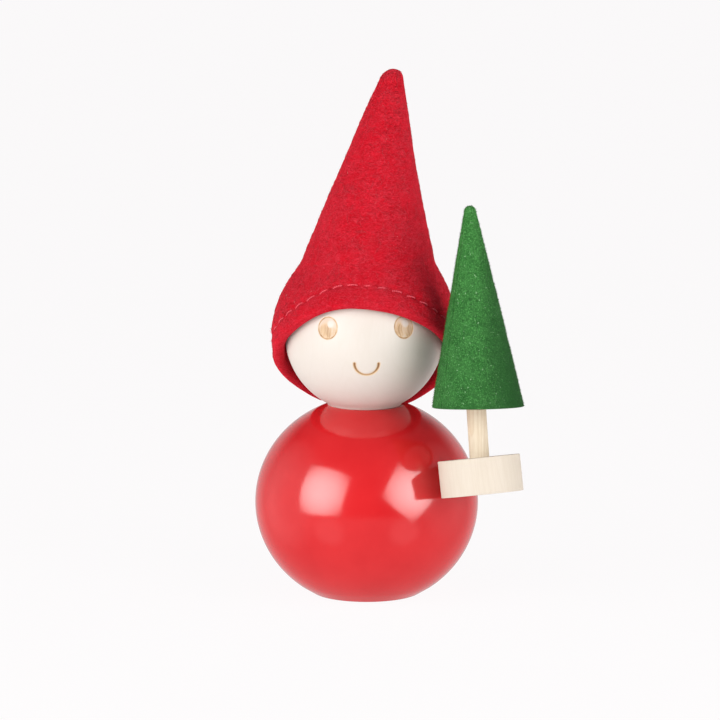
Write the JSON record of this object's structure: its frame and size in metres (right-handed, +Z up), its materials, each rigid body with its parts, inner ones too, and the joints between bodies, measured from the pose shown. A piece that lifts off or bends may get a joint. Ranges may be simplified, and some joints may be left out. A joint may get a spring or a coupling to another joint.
{
  "type": "gnome figurine",
  "caption": "Turned-wood gnome figurine: lacquered ball body, ball head in a tall red felt hood, and a felt-covered tree on a round foot at its shoulder.",
  "frame": {"origin": "centre of the flat base face the figurine stands on, on the body ball's axis", "axes": "+Z up, the face looks along -Y, the tree stands on the +X, -Y side"},
  "size_m": [0.0592, 0.0562, 0.1173],
  "materials": {
    "red_lacquer": "high-gloss red lacquer over turned wood",
    "pale_wood": "satin, unstained pale hardwood",
    "dowel_wood": "sanded bare dowel",
    "red_felt": "dense pressed wool felt",
    "green_felt": "thin short-pile felt"
  },
  "bodies": {
    "body": {"body_ball": "red_lacquer", "neck_dowel": "dowel_wood", "foot_peg": "dowel_wood"},
    "head": {"head_ball": "pale_wood", "hood": "red_felt"},
    "tree": {"tree_foot": "pale_wood", "tree_trunk": "dowel_wood", "cone_core": "dowel_wood", "cone_felt": "green_felt"}
  },
  "joints": [
    {"name": "head_turn", "type": "hinge", "parent": "body", "child": "head", "pos_m": [-0.0005, 0, 0.0427], "axis": [0, 0, 1], "continuous": true},
    {"name": "tree_swivel", "type": "hinge", "parent": "body", "child": "tree", "pos_m": [0.02483, -0.02174, 0.0304], "axis": [0.747, -0.6361, 0.1934], "range_deg": [-90, 90]}
  ]
}
